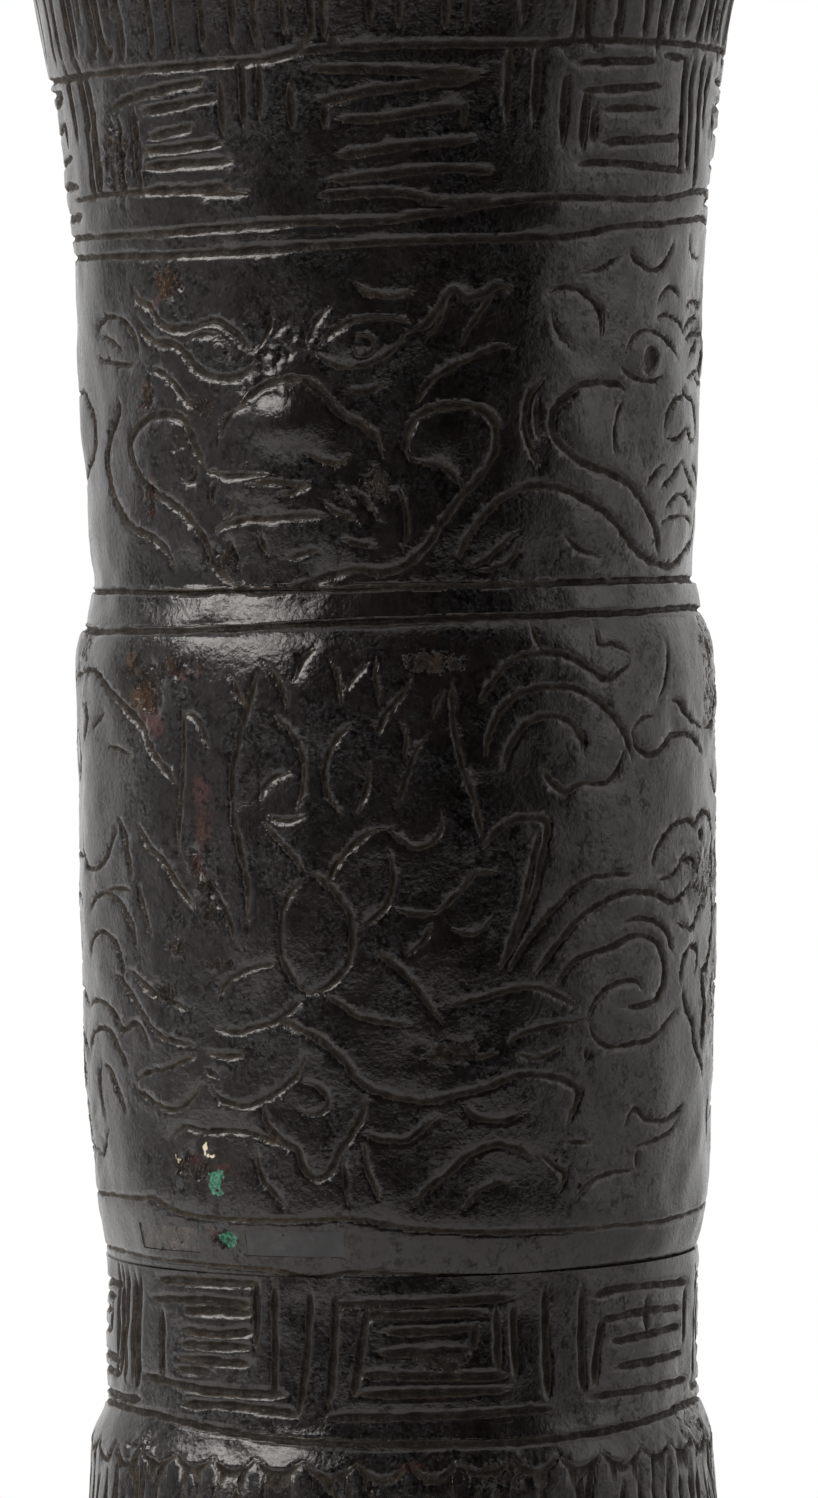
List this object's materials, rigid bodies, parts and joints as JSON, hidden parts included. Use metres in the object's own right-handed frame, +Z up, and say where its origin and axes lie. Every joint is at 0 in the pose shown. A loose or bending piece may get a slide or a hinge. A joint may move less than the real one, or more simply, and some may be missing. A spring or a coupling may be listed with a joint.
{
  "type": "bronze gu vase",
  "caption": "Tall bronze flower vase of ritual gu form: trumpet neck, barrel knop and spreading hollow foot, with incised frets, beast masks and lotus ponds.",
  "frame": {"origin": "centre of the ring the foot stands on", "axes": "+Z up along the vase's axis; -Y is the side the picture shows"},
  "size_m": [0.1506, 0.1506, 0.3008],
  "materials": {
    "patinated_bronze": "dark brown-black patina, semi-gloss, worn on the high parts, dusty in the cuts",
    "disc_bronze": "dull brown bronze, turned flat, stained",
    "plate_bronze": "corroded, granular, greenish brown",
    "solder": "dull grey soft solder"
  },
  "bodies": {
    "root": {"foot_casting": "patinated_bronze", "knop_casting": "patinated_bronze", "neck_casting": "patinated_bronze", "floor_disc": "disc_bronze", "floor_solder": "solder", "neck_solder": "solder", "core_plate_front_left": "plate_bronze", "core_plate_front": "plate_bronze", "core_plate_back_right": "plate_bronze", "core_plate_back_left": "plate_bronze"}
  },
  "joints": []
}
